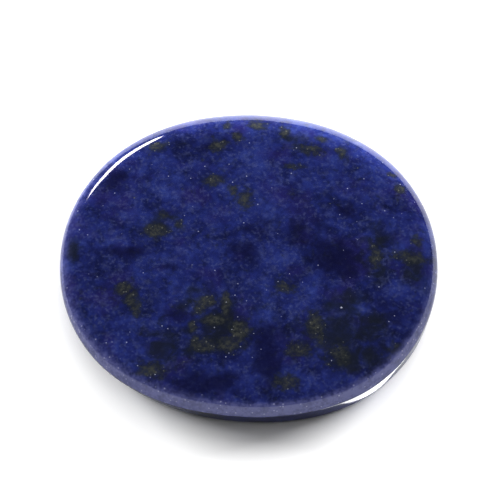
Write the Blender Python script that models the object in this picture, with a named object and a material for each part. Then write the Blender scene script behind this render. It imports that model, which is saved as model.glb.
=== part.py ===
# A flat oval lapis lazuli stone, ground by hand and polished all over, lying on its underside.
# Metres, +Z up. The origin is under the middle of the stone, on the plane it rests on.
# +X runs along the longer side. The rim is crisp in front (-Y) and broad and soft behind (+Y).

import math

import bmesh
import bpy
from mathutils import Vector

MM = 0.001

# Outline of the girdle, the widest line round the stone, seen from above.
# It is a round of the mean radius, and each term swells and pinches it by a whole number of lobes.
MEAN_RADIUS = 19.17 * MM
OUTLINE_TERMS = (
    # lobes, height of a lobe, direction of the first lobe in degrees from +X
    (2, 0.61 * MM, -1.0),
    (3, 0.14 * MM, 78.0),
    (4, 0.18 * MM, 41.0),
)

# Heights of the face, the underside and the small flat spot that the stone rests on.
THICKNESS = 4.9 * MM
FACE_CROWN = 0.15 * MM
UNDERSIDE_RISE = 0.25 * MM
FLAT_SPOT_SHARE = 0.60

# Section of the rim, from the face down to the underside, as a chain of arcs.
# The girdle lies between the two ridges.
# Each arc turns the surface to a new tilt: 0 faces up, 90 faces outwards, 180 faces down.
FACE_EDGE_TILT = 1.0
RIM_ARCS = (
    # tilt at the arc's end in degrees and length of the arc: in front, on the right, behind, on the left
    ("face edge", (62.0, 0.40 * MM), (45.0, 1.20 * MM), (48.0, 4.20 * MM), (30.0, 2.00 * MM)),
    ("upper band", (73.0, 1.20 * MM), (75.0, 1.00 * MM), (75.0, 1.10 * MM), (78.0, 1.00 * MM)),
    ("upper ridge", (90.0, 0.20 * MM), (90.0, 0.26 * MM), (90.0, 0.40 * MM), (90.0, 0.26 * MM)),
    ("lower ridge", (97.0, 0.12 * MM), (104.0, 0.15 * MM), (104.0, 0.16 * MM), (104.0, 0.15 * MM)),
    ("lower band", (100.0, None), (104.0, None), (116.0, None), (105.0, None)),
    ("underside edge", (175.0, 1.00 * MM), (175.0, 1.30 * MM), (175.0, 1.30 * MM), (175.0, 1.40 * MM)),
)
GIRDLE_ARC = "upper ridge"

# Directions in which the front's, the back's and the right side's values hold, in degrees from +X.
FRONT = 272.0
BACK = 78.0
RIGHT = 0.0

# Below the girdle the rim turns further under on the left than on the right.
LEANING_ARCS = ("lower ridge", "lower band")
LOWER_LEAN = 12.0
LOWER_LEAN_SIDE = 210.0

# Fineness of the faceted surface.
STEPS_AROUND = 120
STEPS_OF_ARC = {
    "face edge": 6,
    "upper band": 3,
    "upper ridge": 2,
    "lower ridge": 1,
    "lower band": 3,
    "underside edge": 4,
}
FACE_RINGS = (0.30, 0.60, 0.84)
UNDERSIDE_RINGS = (0.86, 0.72)
SHARP_ANGLE = 40.0

STONE_COLOUR = (0.030, 0.042, 0.190, 1.0)
STONE_ROUGHNESS = 0.12


def clear_scene():
    for thing in list(bpy.context.scene.objects):
        bpy.data.objects.remove(thing, do_unlink=True)


def outline_point(angle):
    """Point of the girdle, seen from above, in the direction of the angle."""
    radius = MEAN_RADIUS
    for lobes, height, first in OUTLINE_TERMS:
        radius += height * math.cos(lobes * (angle - math.radians(first)))
    return Vector((radius * math.cos(angle), radius * math.sin(angle), 0.0))


def outward(angle):
    """Direction square to the outline, pointing out of the stone."""
    step = 0.001
    along = outline_point(angle + step) - outline_point(angle - step)
    return Vector((along.y, -along.x, 0.0)).normalized()


def arc_reach(start, end, length):
    """How far an arc goes outwards and downwards while its tilt turns from start to end."""
    radius = length / (end - start)
    return radius * (math.sin(end) - math.sin(start)), radius * (math.cos(start) - math.cos(end))


def facing(out, direction):
    """1 where the rim faces this direction, given in degrees, and -1 where it faces away from it."""
    return out.x * math.cos(math.radians(direction)) + out.y * math.sin(math.radians(direction))


def side_shares(out):
    """How much of the front's, the right's, the back's and the left's values the rim takes here."""
    front = max(facing(out, FRONT), 0.0) ** 1.5
    back = max(facing(out, BACK), 0.0) ** 1.5
    sides = 1.0 - front - back
    right = sides * (1.0 + facing(out, RIGHT)) / 2.0
    return front, right, back, sides - right


def blended(values, shares):
    """Value between those of the four sides."""
    if values[0] is None:
        return None
    return sum(value * share for value, share in zip(values, shares))


def rim_arcs(out):
    """Arcs of the rim where it faces out, as name, start tilt, end tilt and length."""
    shares = side_shares(out)
    arcs = []
    start = math.radians(FACE_EDGE_TILT)
    for name, *sides in RIM_ARCS:
        end = blended([tilt for tilt, _ in sides], shares)
        if name in LEANING_ARCS:
            end += LOWER_LEAN * facing(out, LOWER_LEAN_SIDE)
        end = math.radians(end)
        arcs.append([name, start, end, blended([length for _, length in sides], shares)])
        start = end
    # the lower band has the length that brings the rim down to the underside
    height = THICKNESS - FACE_CROWN - UNDERSIDE_RISE
    known = sum(arc_reach(*arc[1:])[1] for arc in arcs if arc[3] is not None)
    for arc in arcs:
        if arc[3] is None:
            arc[3] = (height - known) / arc_reach(arc[1], arc[2], 1.0)[1]
    return arcs


def rim_section(out):
    """Section of the rim where it faces out, as pairs of distance outside the girdle and height."""
    reach, height = 0.0, THICKNESS - FACE_CROWN
    section = [(reach, height)]
    girdle = 0.0
    for name, start, end, length in rim_arcs(out):
        steps = STEPS_OF_ARC[name]
        for step in range(1, steps + 1):
            part = step / steps
            across, down = arc_reach(start, start + (end - start) * part, length * part)
            section.append((reach + across, height - down))
        reach, height = section[-1]
        if name == GIRDLE_ARC:
            girdle = reach
    return [(across - girdle, level) for across, level in section]


def stone_rings():
    """Rings of points from the middle of the face, over the rim, to the flat spot underneath."""
    angles = [2.0 * math.pi * step / STEPS_AROUND for step in range(STEPS_AROUND)]
    columns = []
    for angle in angles:
        base, out = outline_point(angle), outward(angle)
        section = rim_section(out)
        columns.append([base + out * across + Vector((0.0, 0.0, level)) for across, level in section])
    rim = [list(ring) for ring in zip(*columns)]

    def shrunk(ring, share, height):
        return [Vector((point.x * share, point.y * share, height)) for point in ring]

    face = [shrunk(rim[0], share, THICKNESS - FACE_CROWN * share ** 2) for share in FACE_RINGS]
    underside = []
    for share in UNDERSIDE_RINGS + (FLAT_SPOT_SHARE,):
        slope = (share - FLAT_SPOT_SHARE) / (1.0 - FLAT_SPOT_SHARE)
        underside.append(shrunk(rim[-1], share, UNDERSIDE_RISE * slope ** 2))
    return face + rim + underside


def centred(rings):
    """The same rings with the middle of their box over the origin."""
    points = [point for ring in rings for point in ring]
    middle_x = (min(p.x for p in points) + max(p.x for p in points)) / 2.0
    middle_y = (min(p.y for p in points) + max(p.y for p in points)) / 2.0
    shift = Vector((-middle_x, -middle_y, 0.0))
    return [[point + shift for point in ring] for ring in rings]


def add_ring(shape, points):
    """Closed loop of edges through the points."""
    corners = [shape.verts.new(point) for point in points]
    return [shape.edges.new((corner, corners[i - 1])) for i, corner in enumerate(corners)]


def stone_material():
    material = bpy.data.materials.new("polished_lapis")
    material.use_nodes = True
    shader = material.node_tree.nodes["Principled BSDF"]
    shader.inputs["Base Color"].default_value = STONE_COLOUR
    shader.inputs["Roughness"].default_value = STONE_ROUGHNESS
    shader.inputs["Metallic"].default_value = 0.0
    return material


def build_stone():
    shape = bmesh.new()
    loops = [add_ring(shape, points) for points in centred(stone_rings())]
    for upper, lower in zip(loops, loops[1:]):
        bmesh.ops.bridge_loops(shape, edges=upper + lower)
    bmesh.ops.contextual_create(shape, geom=loops[-1])

    # the face closes in a low point at the top of its crown
    cap = bmesh.ops.contextual_create(shape, geom=loops[0])["faces"]
    top = bmesh.ops.poke(shape, faces=cap)["verts"][0]
    top.co.z = THICKNESS

    bmesh.ops.recalc_face_normals(shape, faces=shape.faces)
    mesh = bpy.data.meshes.new("lapis_stone")
    shape.to_mesh(mesh)
    shape.free()
    mesh.shade_smooth()
    mesh.set_sharp_from_angle(angle=math.radians(SHARP_ANGLE))
    mesh.materials.append(stone_material())
    stone = bpy.data.objects.new("lapis_stone", mesh)
    bpy.context.scene.collection.objects.link(stone)
    return stone


clear_scene()
build_stone()
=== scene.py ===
import math

import bpy
import numpy as np
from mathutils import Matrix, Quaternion, Vector


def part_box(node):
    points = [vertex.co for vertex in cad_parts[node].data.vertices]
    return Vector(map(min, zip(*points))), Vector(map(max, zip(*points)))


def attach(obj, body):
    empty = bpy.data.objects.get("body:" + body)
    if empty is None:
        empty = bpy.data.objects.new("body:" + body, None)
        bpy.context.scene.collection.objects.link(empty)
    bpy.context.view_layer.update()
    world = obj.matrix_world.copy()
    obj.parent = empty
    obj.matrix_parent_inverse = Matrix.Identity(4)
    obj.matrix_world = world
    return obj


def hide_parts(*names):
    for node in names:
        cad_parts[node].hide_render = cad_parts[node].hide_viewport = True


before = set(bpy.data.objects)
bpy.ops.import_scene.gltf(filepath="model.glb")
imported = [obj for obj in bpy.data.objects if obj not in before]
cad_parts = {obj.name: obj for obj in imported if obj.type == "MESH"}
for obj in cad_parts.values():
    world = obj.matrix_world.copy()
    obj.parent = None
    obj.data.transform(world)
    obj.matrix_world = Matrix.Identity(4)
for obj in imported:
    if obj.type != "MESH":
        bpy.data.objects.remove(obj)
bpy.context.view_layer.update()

# Polished lapis lazuli stone, seen from about 60 degrees above a white table.
# The stone's own numbers are in millimetres, and mm turns them into metres; the studio's are in metres.

mm = 0.001
cadLow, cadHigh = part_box("lapis_stone")


# The stone's shape

stoneShape = {
    "meanRadius": 19.17,         # of the girdle, the widest line round the stone
    "outlineTerms": (            # lobes, height of a lobe, direction of the first one in degrees
        (2, 0.61, -1.0),
        (3, 0.14, 78.0),
        (4, 0.18, 41.0),
    ),
    "faceCrown": 0.15,           # how far the face stands up in the middle
    "undersideRise": 0.25,       # how far the underside's edge stands above the flat spot
    "flatSpotShare": 0.60,
    "faceEdgeTilt": 1.0,         # tilts are in degrees: 0 faces up, 90 outwards, 180 down
    "front": 272.0,              # directions in which the values of three of the sides hold
    "back": 78.0,
    "right": 0.0,
    "sideFocus": 1.5,            # the higher it is, the less the front and the back reach round
    "rimArcs": (                 # end tilt and length: in front, on the right, behind, on the left
        ((62.0, 0.40), (45.0, 1.20), (48.0, 4.20), (30.0, 2.00)),
        ((73.0, 1.20), (75.0, 1.00), (75.0, 1.10), (78.0, 1.00)),
        ((90.0, 0.20), (90.0, 0.26), (90.0, 0.40), (90.0, 0.26)),
        ((97.0, 0.12), (104.0, 0.15), (104.0, 0.16), (104.0, 0.15)),
        ((100.0, None), (104.0, None), (116.0, None), (105.0, None)),
        ((175.0, 1.00), (175.0, 1.30), (175.0, 1.30), (175.0, 1.40)),
    ),
    "girdleArc": 2,              # the arc that ends on the girdle, counted from 0
    "lowerBand": 4,              # the arc whose length brings the rim down to the underside
    "lowerLean": (12.0, 210.0),  # how much further the rim below the girdle turns under, and where most
    "stepsAround": 560,
    "arcSteps": (18, 10, 5, 4, 8, 10),
    "faceSteps": 58,
    "undersideSteps": 20,
    "waveDepth": (0.008, 0.035), # unevenness left by hand polishing, on the face and on the rim
    "waveLengths": (3.0, 9.0),   # shortest and longest
    "waves": 14,
    "waveSoftness": 3.0,         # the higher it is, the gentler they are
    "waveSeed": 4,
}


def outlineOf(angle):
    # radius = mean + sum of height * cos(lobes * (angle - first)); outward = the curve's own normal
    radius = np.full_like(angle, stoneShape["meanRadius"])
    slope = np.zeros_like(angle)
    for lobes, height, first in stoneShape["outlineTerms"]:
        phase = lobes * (angle - math.radians(first))
        radius += height * np.cos(phase)
        slope -= height * lobes * np.sin(phase)
    point = np.stack([radius * np.cos(angle), radius * np.sin(angle)], axis=-1)
    alongX = slope * np.cos(angle) - radius * np.sin(angle)
    alongY = slope * np.sin(angle) + radius * np.cos(angle)
    outward = np.stack([alongY, -alongX], axis=-1)
    return point, outward / np.linalg.norm(outward, axis=-1, keepdims=True)


def arcReach(start, end, length):
    # an arc whose tilt turns evenly from start to end: how far it goes out and down
    radius = length / (end - start)
    return radius * (np.sin(end) - np.sin(start)), radius * (np.cos(start) - np.cos(end))


def alongDirection(outward, degrees):
    # 1 where the rim faces this direction, -1 where it faces away from it
    return outward @ np.array([math.cos(math.radians(degrees)), math.sin(math.radians(degrees))])


def sideShares(outward):
    # how much of the front's, the right's, the back's and the left's values the rim takes
    front = np.clip(alongDirection(outward, stoneShape["front"]), 0, 1) ** stoneShape["sideFocus"]
    back = np.clip(alongDirection(outward, stoneShape["back"]), 0, 1) ** stoneShape["sideFocus"]
    right = (1 - front - back) * (1 + alongDirection(outward, stoneShape["right"])) / 2
    return front, right, back, 1 - front - back - right


def blended(values, shares):
    # sum of each side's value * its share
    if values[0] is None:
        return None
    return sum(value * share for value, share in zip(values, shares))


def rimSection(outward, thickness):
    # the rim's section as a chain of arcs, from the face over the girdle to the underside
    shares = sideShares(outward)
    lean, leanSide = stoneShape["lowerLean"]
    start = np.full_like(shares[0], math.radians(stoneShape["faceEdgeTilt"]))
    arcs = []
    for index, sides in enumerate(stoneShape["rimArcs"]):
        end = blended([tilt for tilt, _ in sides], shares)
        if stoneShape["girdleArc"] < index <= stoneShape["lowerBand"]:
            end = end + lean * alongDirection(outward, leanSide)
        end = np.radians(end)
        arcs.append([start, end, blended([length for _, length in sides], shares)])
        start = end
    drop = thickness - stoneShape["faceCrown"] - stoneShape["undersideRise"]
    for start, end, length in arcs:
        if length is not None:
            drop = drop - arcReach(start, end, length)[1]
    for arc in arcs:
        if arc[2] is None:       # the lower band takes up the height that is left
            arc[2] = drop / arcReach(arc[0], arc[1], 1.0)[1]
    out = np.zeros_like(shares[0])
    level = np.full_like(shares[0], thickness - stoneShape["faceCrown"])
    outs, levels, tilts = [out], [level], [arcs[0][0]]
    for index, (start, end, length) in enumerate(arcs):
        for step in range(1, stoneShape["arcSteps"][index] + 1):
            part = step / stoneShape["arcSteps"][index]
            across, down = arcReach(start, start + (end - start) * part, length * part)
            outs.append(out + across)
            levels.append(level - down)
            tilts.append(start + (end - start) * part)
        out, level = outs[-1], levels[-1]
        if index == stoneShape["girdleArc"]:
            girdle = out
    return np.stack(outs, axis=1) - girdle[:, None], np.stack(levels, axis=1), np.stack(tilts, axis=1)


def polishWaves(points):
    # sum of plane waves with random directions and lengths, brought between 0 and 1
    rng = np.random.default_rng(stoneShape["waveSeed"])
    count = stoneShape["waves"]
    lengths = rng.uniform(*stoneShape["waveLengths"], count)
    directions = rng.normal(size=(count, 3))
    directions /= np.linalg.norm(directions, axis=1, keepdims=True)
    phases = points @ (directions * 2 * math.pi / lengths[:, None]).T
    phases += rng.uniform(0, 2 * math.pi, count)
    return 0.5 + 0.5 * np.tanh(np.sin(phases).sum(axis=-1) / stoneShape["waveSoftness"])


def stoneGrid():
    # grid[i, j]: i turns round the stone, j runs from the face over the rim to the flat spot
    thickness = (cadHigh[2] - cadLow[2]) / mm
    angle = np.arange(stoneShape["stepsAround"]) * 2 * math.pi / stoneShape["stepsAround"]
    base, outward = outlineOf(angle)
    outs, levels, tilts = rimSection(outward, thickness)
    rimPlan = base[:, None, :] + outward[:, None, :] * outs[:, :, None]
    rim = np.concatenate([rimPlan, levels[:, :, None]], axis=2)

    # height of the face = thickness - crown * share of the way out, squared
    share = np.linspace(0, 1, stoneShape["faceSteps"] + 1)[1:-1]
    facePlan = rimPlan[:, :1, :] * share[None, :, None]
    faceLevel = np.broadcast_to(thickness - stoneShape["faceCrown"] * share ** 2, facePlan.shape[:2])
    face = np.concatenate([facePlan, faceLevel[:, :, None]], axis=2)

    # height of the underside = rise * share of the way out beyond the flat spot, squared
    spot = stoneShape["flatSpotShare"]
    share = np.linspace(1, 0, stoneShape["undersideSteps"] + 1)[1:-1]
    underPlan = rimPlan[:, -1:, :] * share[None, :, None]
    rise = stoneShape["undersideRise"] * np.clip((share - spot) / (1 - spot), 0, 1) ** 2
    under = np.concatenate([underPlan, np.broadcast_to(rise, underPlan.shape[:2])[:, :, None]], axis=2)

    grid = np.concatenate([face, rim, under], axis=1)
    middle = (grid[:, :, :2].max(axis=(0, 1)) + grid[:, :, :2].min(axis=(0, 1))) / 2
    grid[:, :, :2] -= middle
    tilt = np.concatenate([
        np.zeros(face.shape[:2]), tilts, np.full(under.shape[:2], math.pi),
    ], axis=1)

    # the polish only takes stone away, and leaves the flat spot as it is
    level = np.cos(tilt)[:, :, None]
    normal = np.concatenate([outward[:, None, :] * np.sin(tilt)[:, :, None], level], axis=2)
    onFace, onRim = stoneShape["waveDepth"]
    depth = onFace + (onRim - onFace) * np.clip(np.sin(tilt), 0, 1) ** 0.5
    depth[:, -under.shape[1]:] = 0
    grid -= normal * (depth * polishWaves(grid))[:, :, None]
    top = np.array([0.0, 0.0, thickness])
    top[2] -= onFace * polishWaves(top[None])[0]
    return grid, tilt, top, np.zeros(3)


def stoneFaces(around, along):
    # quads between neighbouring columns and rows, and a fan of triangles round each middle point
    column = np.arange(around)
    nextColumn = (column + 1) % around
    row = np.arange(along - 1)
    quads = np.stack([
        column[:, None] * along + row, column[:, None] * along + row + 1,
        nextColumn[:, None] * along + row + 1, nextColumn[:, None] * along + row,
    ], axis=-1).reshape(-1, 4)
    topPoint, bottomPoint = around * along, around * along + 1
    topFan = np.stack([np.full(around, topPoint), column * along, nextColumn * along], axis=1)
    bottomFan = np.stack([
        np.full(around, bottomPoint), nextColumn * along + along - 1, column * along + along - 1,
    ], axis=1)
    return quads.tolist() + topFan.tolist() + bottomFan.tolist()


def makeStone():
    grid, tilt, top, bottom = stoneGrid()
    around, along = grid.shape[:2]
    points = np.concatenate([grid.reshape(-1, 3), top[None], bottom[None]])
    mesh = bpy.data.meshes.new("lapisStone")
    mesh.from_pydata((points * mm).tolist(), [], stoneFaces(around, along))
    mesh.shade_smooth()
    tilts = np.degrees(np.append(tilt.reshape(-1), [0, math.pi]))
    fields = mineralFields(points)
    # the paler rim: painted sheen of the table's reflection, with some wear
    fields["rubbedSheen"] = rubbedSheenField(points, tilts)
    fields["under"] = dullField(tilts)
    for name, values in fields.items():
        mesh.attributes.new(name, "FLOAT", "POINT").data.foreach_set("value", values)
    glints = mesh.attributes.new("glintOffset", "FLOAT_VECTOR", "POINT")
    glints.data.foreach_set("vector", glintOffsets(points).reshape(-1))
    stone = bpy.data.objects.new("lapisStone", mesh)
    bpy.context.scene.collection.objects.link(stone)
    return stone


# Where the minerals lie. Each field is 1 inside a patch and falls off round it.

minerals = {
    # x, y of the patch's middle on the face, half width, half height, turn in degrees, strength
    "pyrite": (
        (-9.8, 12.7, 0.8, 0.6, 10, 1.0),
        (-3.2, 12.9, 1.1, 0.6, 20, 0.9),
        (-1.3, 13.9, 0.6, 0.5, 0, 0.8),
        (0.9, 15.6, 0.8, 0.7, 0, 1.0),
        (-2.3, 15.5, 0.4, 0.5, 0, 0.8),
        (3.8, 14.5, 0.5, 0.9, 0, 0.9),
        (6.3, 12.4, 1.2, 0.6, -10, 0.9),
        (9.8, 12.0, 0.6, 0.7, 0, 0.9),
        (7.9, 13.7, 0.7, 0.4, -20, 0.7),
        (4.8, 10.1, 1.1, 0.35, 0, 0.6),
        (-3.8, 8.3, 0.8, 0.8, -40, 0.9),
        (-1.6, 7.3, 0.5, 0.6, 0, 0.8),
        (-0.5, 6.0, 0.8, 1.0, 20, 0.9),
        (-9.8, 2.3, 1.1, 0.7, 5, 1.15),
        (-7.3, 3.0, 0.5, 0.8, 0, 0.8),
        (-9.0, 4.2, 0.6, 0.5, 40, 0.6),
        (-12.8, -4.6, 0.7, 0.8, -40, 1.0),
        (-12.0, -5.8, 0.6, 0.8, -20, 1.0),
        (-11.4, -7.1, 0.6, 0.9, 0, 0.8),
        (15.8, 7.4, 0.6, 0.7, 0, 0.9),
        (15.0, 9.3, 0.5, 0.35, 0, 0.7),
        (13.0, -1.0, 0.6, 1.4, 0, 0.8),
        (16.6, -1.0, 1.5, 0.7, -10, 0.9),
        (17.4, 1.0, 0.4, 0.7, 20, 0.9),
        (3.7, -4.5, 1.0, 0.7, 0, 0.75),
        (-4.4, -6.1, 0.8, 0.6, 0, 1.05),
        (-5.0, -7.1, 0.5, 0.7, 20, 0.9),
        (-2.3, -6.5, 0.45, 1.4, 0, 1.0),
        (-3.4, -8.2, 1.5, 0.5, 0, 1.0),
        (-0.9, -9.4, 1.0, 0.9, -30, 1.1),
        (-5.7, -9.1, 0.4, 0.7, 0, 1.0),
        (-5.4, -10.5, 0.4, 0.6, 0, 1.0),
        (-4.4, -11.2, 1.0, 0.7, 0, 1.0),
        (-2.1, -11.1, 1.2, 0.7, 10, 1.0),
        (6.7, -9.0, 0.8, 1.8, 15, 0.9),
        (5.1, -11.6, 1.2, 0.8, 0, 0.8),
        (9.3, -12.2, 1.1, 1.2, 0, 0.8),
        (-9.8, -13.9, 1.2, 0.9, 0, 0.9),
        (3.8, -15.2, 1.0, 0.8, 0, 0.9),
        (15.0, -12.0, 0.9, 0.9, 40, 0.8),
    ),
    "moss": (
        (9.0, -9.8, 3.2, 2.4, -10, 1.0),
        (12.2, -9.0, 1.8, 1.6, 0, 0.9),
        (10.5, -12.6, 2.4, 1.8, 20, 0.9),
        (-8.6, -11.4, 2.6, 3.2, 0, 0.7),
        (-3.0, -8.9, 2.6, 2.6, 0, 0.9),
        (13.4, 0.6, 1.6, 2.0, 0, 0.8),
        (17.0, -2.6, 1.2, 1.6, 0, 1.0),
        (-9.3, 3.0, 1.5, 1.6, 30, 0.7),
        (-12.2, -5.6, 1.0, 1.8, 15, 0.7),
        (4.6, 13.6, 2.4, 0.9, -15, 0.6),
        (-18.2, 0.2, 0.7, 1.4, 0, 0.9),
        (13.4, -2.4, 2.0, 1.8, 0, 0.6),
        (-5.7, -6.3, 2.4, 2.0, 0, 0.7),
        (-5.7, -10.8, 2.2, 2.0, 0, 0.6),
        (1.2, -7.0, 1.5, 1.5, 0, 0.4),
        (9.5, -6.6, 2.4, 1.8, 0, 0.8),
    ),
    "dusk": (
        (9.0, -1.0, 2.4, 2.0, -35, 1.15),
        (7.6, 0.6, 1.3, 1.4, 0, 0.9),
        (10.4, -2.6, 1.2, 1.2, 0, 1.0),
        (1.8, -12.6, 1.4, 3.2, 10, 1.1),
        (-4.3, -15.4, 3.0, 1.4, 5, 1.1),
        (-6.9, -7.7, 1.8, 0.9, 0, 1.0),
        (-14.2, 8.5, 1.2, 1.5, -30, 0.9),
        (-12.7, -0.2, 2.6, 0.7, 0, 0.8),
        (10.1, 4.6, 1.6, 0.9, 0, 0.8),
        (-0.4, 0.0, 2.0, 1.4, 0, 0.7),
        (0.0, 2.6, 0.9, 0.8, 0, 0.7),
        (-4.1, 13.2, 2.1, 1.0, 5, 0.7),
        (14.1, 1.2, 1.6, 1.8, 0, 0.8),
        (14.4, -8.0, 1.6, 2.0, 0, 0.7),
        (12.0, -11.5, 3.0, 3.4, 0, 0.6),
        (-8.1, -2.1, 0.8, 0.5, 0, 0.8),
        (-3.0, -9.0, 3.0, 3.0, 0, 0.6),
        (1.8, 2.6, 2.2, 1.6, 0, 0.5),
        (5.8, 2.2, 2.2, 1.8, 0, 0.7),
        (13.3, -6.3, 2.0, 2.0, 0, 0.5),
        (-2.0, -11.5, 2.0, 1.8, 0, 0.6),
        (2.0, -10.6, 1.8, 2.0, 0, 1.0),
    ),
    "pale": (
        (2.2, -1.2, 1.6, 1.5, 0, 0.9),
        (-16.0, -7.5, 2.0, 3.4, 20, 0.8),
        (3.6, -7.2, 1.6, 1.2, 0, 0.7),
        (15.4, -4.4, 1.4, 1.6, 0, 0.8),
        (-10.0, 6.5, 3.6, 2.6, 0, 0.7),
        (1.6, 6.4, 2.6, 2.0, 0, 0.5),
        (3.0, 9.0, 4.0, 1.6, 0, 0.6),
        (-14.0, 3.4, 2.0, 1.6, 0, 0.6),
    ),
    # the glints are painted highlights: bright dots laid into the colour where single grains sparkle
    "glints": (
        (1.9, 9.7), (-2.1, 10.4), (-14.7, 3.8), (-13.9, -9.1), (-14.0, -10.3), (5.5, -3.9),
        (0.5, -9.8), (8.1, -15.7), (5.9, -14.7), (8.6, -17.0), (-1.0, -18.6), (15.6, -11.2),
        (15.2, -11.9), (14.9, -12.5), (-7.0, 12.5), (-10.5, -13.0), (-9.3, -13.8), (-9.6, -12.3),
        (-6.8, -13.0), (9.2, 9.4), (8.9, 6.1), (11.1, 1.3), (17.7, 1.5), (17.9, 0.5),
        (12.3, -3.2), (9.4, -6.8), (14.6, -8.1), (14.8, -9.0), (16.8, -8.1),
    ),
    "glintSizes": (0.45, 0.95),  # smallest and largest, which the glint's radius is counted in
    "depth": 3.0,                # how far a patch of the face reaches down into the rim
    "seed": 11,
    # patches of the rim and the underside, which the face doesn't show: how many and how large
    "hidden": {"pyrite": (26, 0.9), "moss": (9, 2.0), "dusk": (14, 2.2), "pale": (10, 2.2)},
    "hiddenGlints": 40,
    "hiddenSizes": (0.6, 1.6),
    "hiddenStrengths": (0.7, 1.1),
    "hiddenRim": (15.0, 3.0),    # past this distance from the middle they lie up to this high on the rim
}


def patchField(points, patches):
    # strength times 2 to the power of minus the squared distance, measured in the patch's half sizes
    x, y, z, wide, high, deep, turn, strength = patches.T
    dx, dy, dz = (points[:, None, :] - np.stack([x, y, z], axis=1)).transpose(2, 0, 1)
    c, s = np.cos(np.radians(turn)), np.sin(np.radians(turn))
    squared = ((dx * c + dy * s) / wide) ** 2 + ((dy * c - dx * s) / high) ** 2 + (dz / deep) ** 2
    return (strength * np.exp2(-squared)).max(axis=1)


def hiddenPlaces(rng, count):
    # random places on the underside and, low down, on the rim
    angle = rng.uniform(0, 2 * math.pi, count)
    reach = np.sqrt(rng.uniform(0, 1, count)) * stoneShape["meanRadius"]
    rimStart, rimHeight = minerals["hiddenRim"]
    height = np.where(reach > rimStart, rng.uniform(0, rimHeight, count), 0)
    return np.stack([reach * np.cos(angle), reach * np.sin(angle), height], axis=1)


def hiddenPatches(rng, count, size):
    wide, high = size * rng.uniform(*minerals["hiddenSizes"], (2, count))
    turn, strength = rng.uniform(0, 180, count), rng.uniform(*minerals["hiddenStrengths"], count)
    shape = np.stack([wide, high, (wide + high) / 2, turn, strength], axis=1)
    return np.concatenate([hiddenPlaces(rng, count), shape], axis=1)


def mineralFields(points):
    # the strongest patch of each mineral at every point, with the hidden patches added to the seen ones
    rng = np.random.default_rng(minerals["seed"])
    top = points[:, 2].max()
    fields = {}
    for name, (count, size) in minerals["hidden"].items():
        seen = [(x, y, top, wide, high, minerals["depth"], turn, strength)
                for x, y, wide, high, turn, strength in minerals[name]]
        fields[name] = patchField(points, np.concatenate([seen, hiddenPatches(rng, count, size)]))
    return fields


def glintOffsets(points):
    # from the nearest glint to each point, as a vector counted in the glint's own size
    rng = np.random.default_rng(minerals["seed"] + 1)
    places = [(x, y, points[:, 2].max()) for x, y in minerals["glints"]]
    places = np.concatenate([places, hiddenPlaces(rng, minerals["hiddenGlints"])])
    apart = points[:, None, :] - places[None, :, :]
    nearest = (apart ** 2).sum(axis=2).argmin(axis=1)
    sizes = rng.uniform(*minerals["glintSizes"], len(places))
    return apart[np.arange(len(points)), nearest] / sizes[nearest, None]


# How the rim is finished: paler above the girdle, partly worn by rubbing and partly a painted sheen that
# stands for the white table mirrored in the rounded rim, and duller below it.

# the paler rim is painted sheen as well as wear: it is painted strongest on the sides that face the
# camera
rubbedSheenPlaces = {
    "fullInset": 0.4,            # distance in from the girdle up to which the paler rim is full
    "lastInset": 1.15,           # distance at which the paler rim ends
    "widerOnLeft": 0.5,
    "sides": (                   # direction in degrees, reach round that side, strength
        (262.0, 0.5, 1.0),
        (165.0, 0.2, 0.75),
    ),
    "narrowing": 0.9,            # how fast it weakens away from such a side
    "least": 0.2,
    "girdleTilts": (80, 90),     # the paler rim ends between these tilts
    "dullTilts": (90, 96, 130, 150),  # the dull rim begins between the first two, ends between the last
}


def between(values, none, whole):
    # straight step: 0 at none, 1 at whole
    return np.clip((values - none) / (whole - none), 0, 1)


def rubbedSheenField(points, tilts):
    # painted sheen and wear: how pale the rim is painted at each point
    # strength on this side * how near the girdle, from 1 up to the full inset to 0 at the last one
    out = points[:, :2] / stoneShape["meanRadius"]
    angle = np.arctan2(points[:, 1], points[:, 0])
    inset = np.linalg.norm(outlineOf(angle)[0], axis=1) - np.linalg.norm(points[:, :2], axis=1)
    last = rubbedSheenPlaces["lastInset"] + rubbedSheenPlaces["widerOnLeft"] * np.clip(-out[:, 0], 0, 1)
    sides = [share * np.clip(reach + rubbedSheenPlaces["narrowing"] * alongDirection(out, direction), 0, 1)
             for direction, reach, share in rubbedSheenPlaces["sides"]]
    strength = np.maximum(np.max(sides, axis=0), rubbedSheenPlaces["least"])
    whole, none = rubbedSheenPlaces["girdleTilts"]
    return strength * between(inset, last, rubbedSheenPlaces["fullInset"]) * between(tilts, none, whole)


def dullField(tilts):
    # 1 on the rim below the girdle, 0 above it and where the rim turns under
    start, whole, weaker, end = rubbedSheenPlaces["dullTilts"]
    return between(tilts, start, whole) * between(tilts, end, weaker)


# The stone's finish

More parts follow.
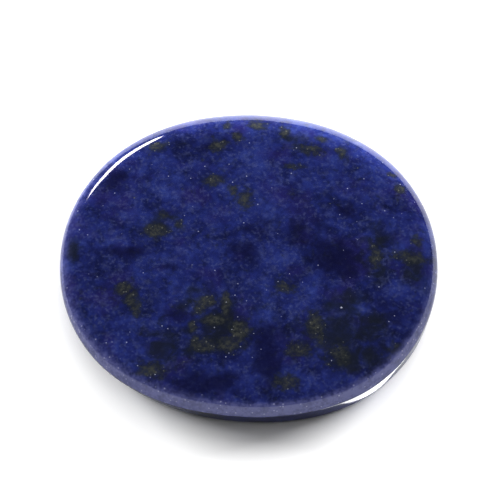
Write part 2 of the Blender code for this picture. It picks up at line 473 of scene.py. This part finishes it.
finish = {
    # lightness and linear colour, from the dark end of the blue to its pale end
    "blues": (
        (0.34, (0.0042, 0.0056, 0.0220)),
        (0.44, (0.0062, 0.0085, 0.0360)),
        (0.52, (0.0085, 0.0119, 0.0505)),
        (0.60, (0.0114, 0.0164, 0.0630)),
        (0.72, (0.0178, 0.0255, 0.0830)),
    ),
    "violet": (0.0105, 0.0082, 0.0400),
    "dusk": (0.0034, 0.0036, 0.0160),
    "moss": (0.0062, 0.0078, 0.0105),
    "olive": (0.0235, 0.0248, 0.0225),
    "paleGrain": (0.0490, 0.0560, 0.0940),
    # painted highlight of the glints
    "glint": (0.30, 0.31, 0.36),
    "flecks": (0.120, 0.123, 0.112),
    # colour of the paler rim: painted sheen of the white table's reflection, with wear
    "rubbedSheen": (0.0490, 0.0520, 0.1100),
    "scuffs": (0.150, 0.152, 0.200),
    # how much each part of the pattern adds to the lightness of the blue
    "cloudsInBlue": 0.58,
    "mottleInBlue": 0.32,
    "fineInBlue": 0.10,
    "paleInBlue": 0.05,
    # how ragged the edges of the patches and of the paler rim are
    "duskEdge": 1.2,
    "mossEdge": 1.4,
    "pyriteEdge": 1.4,
    "rubbedSheenEdge": 1.8,
    "paleInDrift": 0.12,         # how much a pale patch adds to the drifts of grain
    "mottleInRubbedSheen": 0.6,       # how much each adds to the unevenness of the paler rim
    "fineInRubbedSheen": 0.4,
    # how strongly dots and glints are laid over the colour, and the share of cells that hold one
    "fleckStrength": 0.5,
    "scuffStrength": 0.5,
    "scuffedCells": 0.20,
    "strayStrength": 0.35,
    "strayCells": 0.014,
    "glintStrength": 0.8,
    "glintRadius": 0.13,         # counted in the glint's own size
    "glintEdge": (1.9, 0.6),     # radii at which a glint begins, and at which it is full
    "dotCore": 0.35,             # share of its radius inside which a dot is full
    "roughness": 0.05,           # of the polished blue, and then how much each of these adds
    "rougher": {"mottle": 0.03, "pyrite": 0.11, "rubbedSheen": 0.12, "under": 0.07},
    "specular": 0.5,
    "duller": 0.45,              # how much of the specular level the rim below the girdle loses
    "refraction": 1.5,
    "metallic": 0.4,             # of the pyrite flecks
    "mottleInBump": 2.0,
    "bump": (0.10, 0.00001),     # strength and distance in metres
    "noises": {                  # start in mm, bumps per mm, detail, roughness, distortion
        "clouds": ((0, 0, 0), 0.26, 4.0, 0.55, 0.6),
        "mottle": ((0, 0, 0), 1.1, 2.0, 0.5, 0.4),
        "fine": ((0, 0, 0), 3.6, 1.0, 0.5, 0.0),
        "violet": ((31, 7, 0), 0.28, 3.0, 0.55, 0.0),
        "edge": ((0, 0, 0), 0.7, 2.0, 0.5, 0.6),
        "drift": ((5, 19, 3), 0.5, 3.0, 0.55, 0.0),
        "smallGrain": ((7, 3, 2), 3.0, 1.0, 0.5, 0.0),
        "largeGrain": ((3, 1, 8), 1.6, 2.0, 0.5, 0.0),
        "crumbs": ((9, 2, 4), 1.3, 2.0, 0.6, 0.0),
        "strokes": ((4, 8, 1), 2.4, 2.0, 0.6, 0.0),
    },
    "dots": {                    # start in mm, cells per mm, radius in cells
        "flecks": ((1, 4, 2), 4.0, 0.46),
        "scuffs": ((6, 1, 5), 3.4, 0.44),
        "stray": ((2, 6, 1), 3.4, 0.36),
    },
    "steps": {                   # smooth steps: from and to, and the results there
        "violet": (0.48, 0.72, 0.0, 0.6),
        "dusk": (0.05, 1.00, 0.0, 0.80),
        "moss": (0.15, 0.95, 0.0, 0.80),
        "drift": (0.38, 0.66, 0.0, 0.10),
        "smallGrain": (0.54, 0.88, 0.0, 1.0),
        "largeGrain": (0.54, 0.88, 0.0, 0.8),
        "grainInDark": (0.10, 0.75, 0.29, 0.06),
        "pyriteBorder": (0.0, 0.70, 0.0, 0.75),
        "pyrite": (0.20, 1.05, 0.0, 0.95),
        "strokes": (0.36, 0.66, 0.25, 1.0),
        "fleckedCells": (0.15, 0.80, 0.0, 0.10),
        "rubbedSheenEdge": (0.10, 1.00, 0.25, 1.0),
        "rubbedSheenMottle": (0.40, 0.58, 0.70, 1.0),
        "glintMottle": (0.3, 0.6, 0.5, 1.0),
        "roughMottle": (0.3, 0.7, 0.0, 1.0),
    },
}


class Graph:
    # short way to add shader nodes and link them; place is the point on the stone in mm,
    # and the names of noises, dots and steps are those in the finish

    def __init__(self, material):
        self.tree = material.node_tree
        scale = self.add("VectorMath")
        scale.operation = "SCALE"
        self.feed(scale.inputs[0], self.add("TexCoord").outputs["Object"])
        scale.inputs["Scale"].default_value = 1 / mm
        self.place = scale.outputs[0]

    def add(self, kind, **inputs):
        node = self.tree.nodes.new("ShaderNode" + kind)
        for name, value in inputs.items():
            self.feed(node.inputs[name.replace("_", " ")], value)
        return node

    def feed(self, socket, value):
        if isinstance(value, bpy.types.NodeSocket):
            self.tree.links.new(value, socket)
        else:
            socket.default_value = value

    def math(self, operation, *values):
        node = self.tree.nodes.new("ShaderNodeMath")
        node.operation = operation
        for socket, value in zip(node.inputs, values):
            self.feed(socket, value)
        return node.outputs[0]

    def times(self, first, second):
        return self.math("MULTIPLY", first, second)

    def plus(self, value, share, other):
        # value * share + other
        return self.math("MULTIPLY_ADD", value, share, other)

    def ramp(self, value, low, high, atLow=0.0, atHigh=1.0):
        # smooth step of the value from low to high
        node = self.add("MapRange", Value=value, From_Min=low, From_Max=high,
                        To_Min=atLow, To_Max=atHigh)
        node.interpolation_type = "SMOOTHSTEP"
        return node.outputs["Result"]

    def step(self, name, value):
        return self.ramp(value, *finish["steps"][name])

    def mix(self, factor, first, second):
        node = self.tree.nodes.new("ShaderNodeMix")
        node.data_type = "RGBA"
        sockets = node.inputs[0], node.inputs[6], node.inputs[7]
        for socket, value in zip(sockets, (factor, first, second)):
            self.feed(socket, (*value, 1.0) if isinstance(value, tuple) else value)
        return node.outputs[2]

    def shifted(self, start):
        node = self.add("VectorMath")
        self.feed(node.inputs[0], self.place)
        node.inputs[1].default_value = start
        return node.outputs[0]

    def noise(self, name):
        start, scale, detail, roughness, distortion = finish["noises"][name]
        return self.add("TexNoise", Vector=self.shifted(start), Scale=scale, Detail=detail,
                        Roughness=roughness, Distortion=distortion).outputs["Fac"]

    def centred(self, value):
        return self.math("SUBTRACT", value, 0.5)

    def dots(self, name, share):
        # round dots in a share of the cells, with soft edges
        start, scale, radius = finish["dots"][name]
        cells = self.add("TexVoronoi", Vector=self.shifted(start), Scale=scale)
        dot = self.ramp(cells.outputs["Distance"], radius, radius * finish["dotCore"])
        pick = self.add("SeparateColor", Color=cells.outputs["Color"]).outputs["Red"]
        picked = self.math("GREATER_THAN", pick, self.math("SUBTRACT", 1.0, share))
        return self.times(dot, picked)

    def field(self, name):
        node = self.add("Attribute")
        node.attribute_name = name
        return node.outputs["Fac"]

    def lengthOf(self, name):
        node = self.add("Attribute")
        node.attribute_name = name
        length = self.add("VectorMath")
        length.operation = "LENGTH"
        self.feed(length.inputs[0], node.outputs["Vector"])
        return length.outputs["Value"]


def blueColour(graph, clouds, mottle, fine, pale):
    # lightness of the blue: broad clouds, mottling and fine grain
    light = graph.plus(clouds, finish["cloudsInBlue"], graph.times(mottle, finish["mottleInBlue"]))
    light = graph.plus(fine, finish["fineInBlue"], light)
    light = graph.plus(pale, finish["paleInBlue"], light)
    blues = graph.add("ValToRGB", Fac=light)
    points = blues.color_ramp.elements  # it starts with two
    for index, (position, colour) in enumerate(finish["blues"]):
        point = points[index] if index < 2 else points.new(position)
        point.position = position
        point.color = (*colour, 1.0)
    violet = graph.step("violet", graph.noise("violet"))
    return graph.mix(violet, blues.outputs["Color"], finish["violet"])


def withDarkPatches(graph, colour, pale):
    # dark violet dusk, then green-black moss, with soft ragged edges
    edge = graph.centred(graph.noise("edge"))
    dusk = graph.step("dusk", graph.plus(edge, finish["duskEdge"], graph.field("dusk")))
    colour = graph.mix(dusk, colour, finish["dusk"])
    moss = graph.step("moss", graph.plus(edge, finish["mossEdge"], graph.field("moss")))
    colour = graph.mix(moss, colour, finish["moss"])

    # small pale grains of calcite and mica, in drifts and hardly in the dark patches
    drift = graph.step("drift", graph.plus(pale, finish["paleInDrift"], graph.noise("drift")))
    small = graph.step("smallGrain", graph.math("ADD", graph.noise("smallGrain"), drift))
    large = graph.step("largeGrain", graph.math("ADD", graph.noise("largeGrain"), drift))
    strength = graph.step("grainInDark", graph.math("MAXIMUM", dusk, moss))
    grains = graph.times(graph.math("MAXIMUM", small, large), strength)
    return graph.mix(grains, colour, finish["paleGrain"])


def withPyrite(graph, colour):
    # strokes of olive in a dark border, with small pale flecks
    crumbs = graph.centred(graph.noise("crumbs"))
    near = graph.plus(crumbs, finish["pyriteEdge"], graph.field("pyrite"))
    colour = graph.mix(graph.step("pyriteBorder", near), colour, finish["moss"])
    pyrite = graph.times(graph.step("strokes", graph.noise("strokes")), graph.step("pyrite", near))
    colour = graph.mix(pyrite, colour, finish["olive"])
    flecks = graph.dots("flecks", graph.step("fleckedCells", near))
    colour = graph.mix(graph.times(flecks, finish["fleckStrength"]), colour, finish["flecks"])
    return colour, pyrite, flecks


def withRubbedSheenRim(graph, colour, mottle, fine):
    # the paler rim above the girdle, partly worn and partly a painted sheen of the white table's
    # reflection, with a ragged inner edge and scuffs
    uneven = graph.plus(mottle, finish["mottleInRubbedSheen"], graph.times(fine, finish["fineInRubbedSheen"]))
    ragged = graph.plus(graph.centred(uneven), finish["rubbedSheenEdge"], graph.field("rubbedSheen"))
    rubbedSheen = graph.times(graph.field("rubbedSheen"), graph.step("rubbedSheenEdge", ragged))
    rubbedSheen = graph.times(rubbedSheen, graph.step("rubbedSheenMottle", uneven))
    colour = graph.mix(rubbedSheen, colour, finish["rubbedSheen"])
    scuffs = graph.dots("scuffs", graph.times(rubbedSheen, finish["scuffedCells"]))
    colour = graph.mix(graph.times(scuffs, finish["scuffStrength"]), colour, finish["scuffs"])
    return colour, rubbedSheen


def withGlints(graph, colour, mottle, fine):
    # painted glints: single bright highlights laid into the colour, then fainter stray ones
    radius = finish["glintRadius"]
    outer, inner = finish["glintEdge"]
    apart = graph.plus(fine, radius, graph.lengthOf("glintOffset"))
    glint = graph.ramp(apart, radius * outer, radius * inner)
    glint = graph.times(glint, graph.step("glintMottle", mottle))
    stray = graph.times(graph.dots("stray", finish["strayCells"]), finish["strayStrength"])
    glint = graph.times(graph.math("MAXIMUM", glint, stray), finish["glintStrength"])
    return graph.mix(glint, colour, finish["glint"])


def lapisMaterial():
    material = bpy.data.materials.new("polishedLapis")
    material.use_nodes = True
    graph = Graph(material)
    shader = material.node_tree.nodes["Principled BSDF"]
    clouds, mottle, fine = graph.noise("clouds"), graph.noise("mottle"), graph.noise("fine")
    pale, under = graph.field("pale"), graph.field("under")

    colour = blueColour(graph, clouds, mottle, fine, pale)
    colour = withDarkPatches(graph, colour, pale)
    colour, pyrite, flecks = withPyrite(graph, colour)
    colour, rubbedSheen = withRubbedSheenRim(graph, colour, mottle, fine)
    graph.feed(shader.inputs["Base Color"], withGlints(graph, colour, mottle, fine))

    rough, rougher = finish["roughness"], finish["rougher"]
    uneven = graph.step("roughMottle", mottle)
    for name, value in (("mottle", uneven), ("pyrite", pyrite), ("rubbedSheen", rubbedSheen), ("under", under)):
        rough = graph.plus(value, rougher[name], rough)
    graph.feed(shader.inputs["Roughness"], rough)
    graph.feed(shader.inputs["Metallic"], graph.times(flecks, finish["metallic"]))
    shine = graph.plus(under, -finish["duller"], finish["specular"])
    graph.feed(shader.inputs["Specular IOR Level"], shine)
    graph.feed(shader.inputs["IOR"], finish["refraction"])
    strength, distance = finish["bump"]
    height = graph.plus(mottle, finish["mottleInBump"], fine)
    bump = graph.add("Bump", Height=height, Strength=strength, Distance=distance)
    graph.feed(shader.inputs["Normal"], bump.outputs["Normal"])
    return material


# The table, the light and the camera

studio = {
    "tableSize": 3.0,
    "tableColour": (0.90, 0.90, 0.90),
    "tableRoughness": 0.9,
    "worldLight": 0.08,
    # the polish mirrors only these two: a long light behind the stone's left shoulder, and
    # a bright strip on the table in front on the right, mirrored by the rim below the girdle
    "streak": {
        "azimuth": 114.2, "elevation": 19.0, "distance": 0.9, "size": (0.42, 0.14), "roll": 40.0,
        "power": 2.6, "colour": (1.0, 0.93, 0.85),
    },
    "strip": {
        "middle": (0.0128, -0.0149, 0.00005), "size": (0.0122, 0.0008), "turn": 38.0, "power": 0.00013,
    },
    # name, azimuth, elevation, distance, width, height, power, what it lights
    "lights": (
        ("backHigh", 115.0, 26.0, 0.9, 0.26, 0.18, 6.6, "stone"),
        ("backLeft", 108.0, 4.5, 0.9, 0.26, 0.09, 37.0, "stone"),
        ("backRight", 72.0, 4.5, 0.9, 0.20, 0.09, 37.0, "stone"),
        ("top", 265.0, 66.0, 0.9, 0.60, 0.40, 11.6, "stone"),
        ("stoneLeft", 185.0, 10.0, 0.9, 0.50, 0.20, 7.0, "stone"),
        ("stoneRight", -5.0, 10.0, 0.9, 0.50, 0.20, 7.0, "stone"),
        ("tableBack", 90.0, 44.0, 0.9, 1.40, 1.10, 6.0, "table"),
        ("tableLeft", 152.0, 16.0, 0.9, 0.50, 0.30, 12.0, "table"),
        ("tableRight", 32.0, 16.0, 0.9, 0.50, 0.30, 14.0, "table"),
        ("tableTop", 270.0, 78.0, 0.9, 0.90, 0.70, 1.7, "table"),
        ("glowRight", 50.0, 24.0, 0.060, 0.03, 0.02, 0.006, "both"),
    ),
}

viewing = {
    "azimuth": 0.0,              # 0 is in front of the stone, on the -Y side
    "elevation": 60.0,
    "distance": 0.2177,
    "lens": 150.0,
    "film": 36.0,
    "nearest": 0.01,
    "aim": (0.00012, 0.00130, 0.00245),
}


def plainMaterial(name, colour, roughness):
    material = bpy.data.materials.new(name)
    material.use_nodes = True
    shader = material.node_tree.nodes["Principled BSDF"]
    shader.inputs["Base Color"].default_value = (*colour, 1.0)
    shader.inputs["Roughness"].default_value = roughness
    shader.inputs["Specular IOR Level"].default_value = 0.0
    return material


def makeTable():
    half = studio["tableSize"] / 2
    corners = [(-half, -half, 0), (half, -half, 0), (half, half, 0), (-half, half, 0)]
    mesh = bpy.data.meshes.new("table")
    mesh.from_pydata(corners, [], [(0, 1, 2, 3)])
    mesh.materials.append(plainMaterial("tablePaper", studio["tableColour"], studio["tableRoughness"]))
    table = bpy.data.objects.new("table", mesh)
    bpy.context.scene.collection.objects.link(table)
    return table


def aimAt(thing, place, target, roll=0.0):
    # turns a camera or a light, which looks along its own -Z, towards the target, then rolls it
    thing.location = place
    turn = (Vector(target) - Vector(place)).to_track_quat("-Z", "Y")
    thing.rotation_euler = (turn @ Quaternion((0, 0, 1), math.radians(roll))).to_euler()


def placeAround(azimuth, elevation, distance, centre=(0, 0, 0)):
    # azimuth is counted from +X, as on a map of the table
    a, e = math.radians(azimuth), math.radians(elevation)
    return (centre[0] + distance * math.cos(e) * math.cos(a),
            centre[1] + distance * math.cos(e) * math.sin(a),
            centre[2] + distance * math.sin(e))


def addLamp(name, size, power, receivers, mirrored):
    light = bpy.data.lights.new(name, "AREA")
    light.shape = "ELLIPSE" if mirrored else "RECTANGLE"
    light.size, light.size_y = size
    light.energy = power
    lamp = bpy.data.objects.new(name, light)
    bpy.context.scene.collection.objects.link(lamp)
    lamp.visible_camera = False
    lamp.visible_glossy = mirrored
    if receivers:
        lamp.light_linking.receiver_collection = receivers
    return lamp


def makeLights(stone, table):
    receivers = {}
    for lit, thing in (("stone", stone), ("table", table)):
        receivers[lit] = bpy.data.collections.new(lit + "Alone")
        receivers[lit].objects.link(thing)
    for name, azimuth, elevation, distance, width, height, power, lit in studio["lights"]:
        lamp = addLamp(name, (width, height), power, receivers.get(lit), False)
        aimAt(lamp, placeAround(azimuth, elevation, distance), (0, 0, 0))

    streak = studio["streak"]
    lamp = addLamp("streak", streak["size"], streak["power"], receivers["stone"], True)
    lamp.data.color = streak["colour"]
    place = placeAround(streak["azimuth"], streak["elevation"], streak["distance"])
    aimAt(lamp, place, (0, 0, 0), streak["roll"])

    strip = studio["strip"]
    lamp = addLamp("strip", strip["size"], strip["power"], receivers["stone"], True)
    lamp.location = strip["middle"]
    lamp.rotation_euler = (math.pi, 0, math.radians(strip["turn"]))

    world = bpy.data.worlds.new("studio")
    world.use_nodes = True
    world.node_tree.nodes["Background"].inputs["Color"].default_value = (1, 1, 1, 1)
    world.node_tree.nodes["Background"].inputs["Strength"].default_value = studio["worldLight"]
    bpy.context.scene.world = world


def makeCamera():
    camera = bpy.data.cameras.new("camera")
    camera.lens = viewing["lens"]
    camera.sensor_width = viewing["film"]
    camera.clip_start = viewing["nearest"]
    eye = bpy.data.objects.new("camera", camera)
    bpy.context.scene.collection.objects.link(eye)
    aim = viewing["aim"]
    place = placeAround(viewing["azimuth"] - 90.0, viewing["elevation"], viewing["distance"], aim)
    aimAt(eye, place, aim)
    bpy.context.scene.camera = eye


stone = makeStone()
stone.data.materials.append(lapisMaterial())
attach(stone, "root")
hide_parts("lapis_stone")
print("stone made:", len(stone.data.polygons), "faces")

table = makeTable()
makeLights(stone, table)
makeCamera()
bpy.context.scene.view_settings.view_transform = "Standard"
bpy.context.scene.view_settings.look = "High Contrast"
print("studio made")
